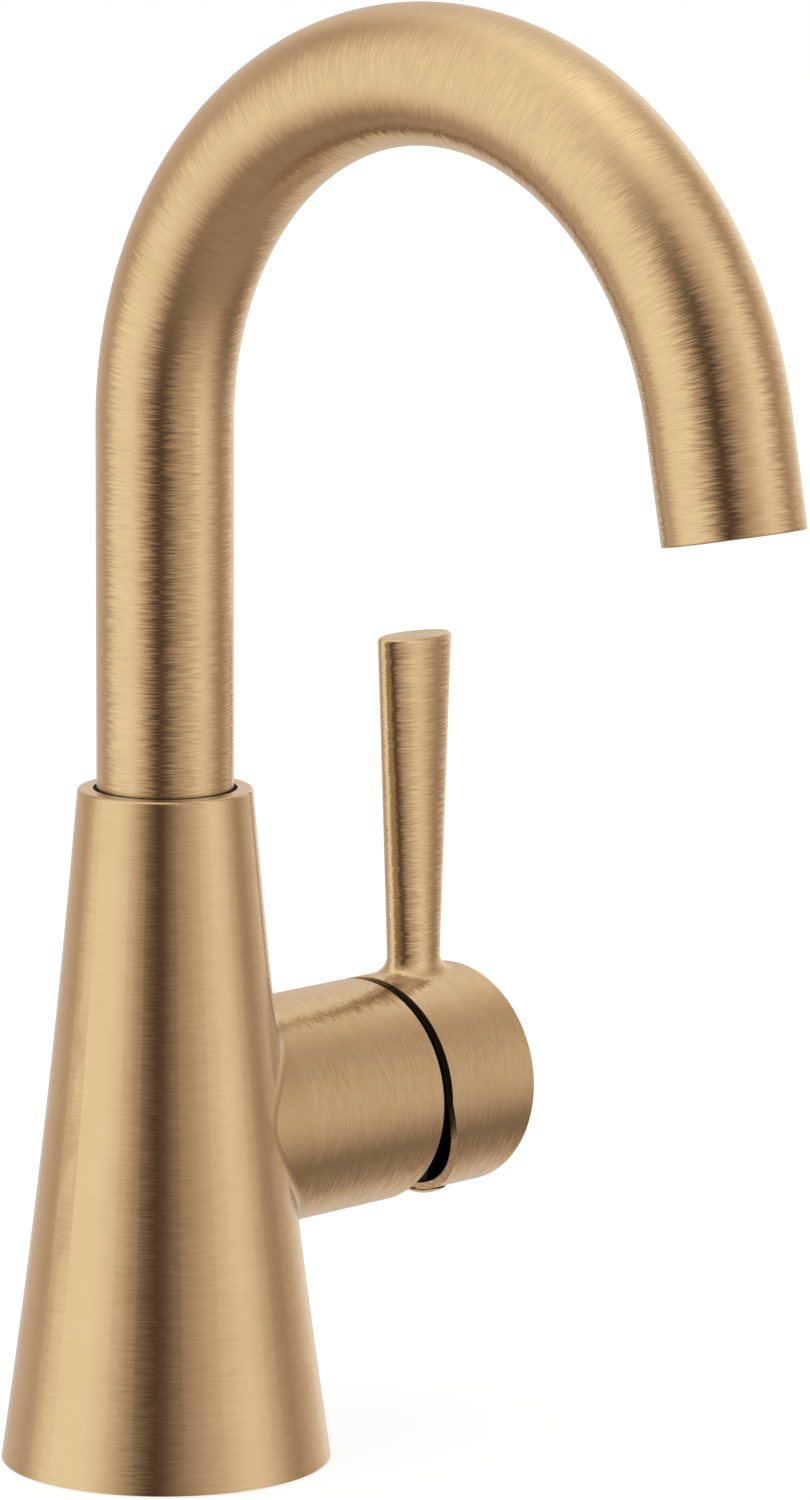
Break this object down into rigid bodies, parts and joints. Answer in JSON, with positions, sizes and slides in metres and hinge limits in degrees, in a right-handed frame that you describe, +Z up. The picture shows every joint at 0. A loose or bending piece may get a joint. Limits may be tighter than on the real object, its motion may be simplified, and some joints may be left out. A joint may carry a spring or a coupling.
{
  "type": "high arc bathroom faucet",
  "caption": "Single-handle basin faucet with a tapered body, a tall swivelling arch spout and a round side hub with an upright lever, in brushed gold.",
  "frame": {"origin": "centre of the deck hole at the deck plane", "axes": "+Z up along the body's axis, -Y towards the user where the spout points, +X towards the handle hub"},
  "size_m": [0.1093, 0.1816, 0.3236],
  "materials": {
    "brushed_gold": "brushed champagne gold coating, fine lines round each turned surface",
    "brass": "turned, uncoated",
    "black_plastic": "moulded",
    "white_plastic": "moulded",
    "cartridge_plastic": "moulded",
    "rubber": "moulded, matt",
    "ceramic": "lapped",
    "steel": "machined"
  },
  "bodies": {
    "base": {"body_casting": "brushed_gold", "inlet_nipples": "brass", "deck_gasket": "rubber", "bearing_ring": "black_plastic", "spout_stop_screw": "steel", "cartridge_base": "black_plastic", "cartridge_seals": "rubber", "fixed_disc": "ceramic", "cartridge_housing": "white_plastic", "bonnet_nut": "brass", "trim_dome": "black_plastic", "mounting_shank": "brass", "clamp_pad": "rubber", "clamp_washer": "steel", "mounting_nut": "brass", "clamp_screws": "steel"},
    "spout": {"spout_tube": "brushed_gold", "spout_foot": "brass", "lower_glide_ring": "black_plastic", "spout_o_rings": "rubber", "outlet_insert": "brass", "aerator_housing": "black_plastic", "flow_straightener": "white_plastic", "aerator_screen": "steel", "aerator_washer": "rubber"},
    "mixer": {"cartridge_rotor": "cartridge_plastic", "pivot_pin": "steel"},
    "handle": {"handle": "brushed_gold", "cartridge_stem": "steel", "set_screw": "steel", "set_screw_plug": "brushed_gold"},
    "disc": {"moving_disc": "ceramic", "disc_carrier": "white_plastic"}
  },
  "joints": [
    {"name": "spout_swivel", "type": "hinge", "parent": "base", "child": "spout", "pos_m": [0, 0, 0.1259], "axis": [0, 0, 1], "range_deg": [-60, 60]},
    {"name": "temperature_turn", "type": "hinge", "parent": "base", "child": "mixer", "pos_m": [0.03505, 0, 0.0619], "axis": [1, 0, 0], "range_deg": [-45, 45]},
    {"name": "lever_lift", "type": "hinge", "parent": "mixer", "child": "handle", "pos_m": [0.03505, 0, 0.0619], "axis": [0, 1, 0], "range_deg": [0, 23]},
    {"name": "disc_slide", "type": "slide", "parent": "mixer", "child": "disc", "axis": [0, 0, 1], "range_m": [0, 0.0029]}
  ],
  "couplings": [
    {"joint": "disc_slide", "follows": "lever_lift", "m_per_rad": 0.007}
  ]
}
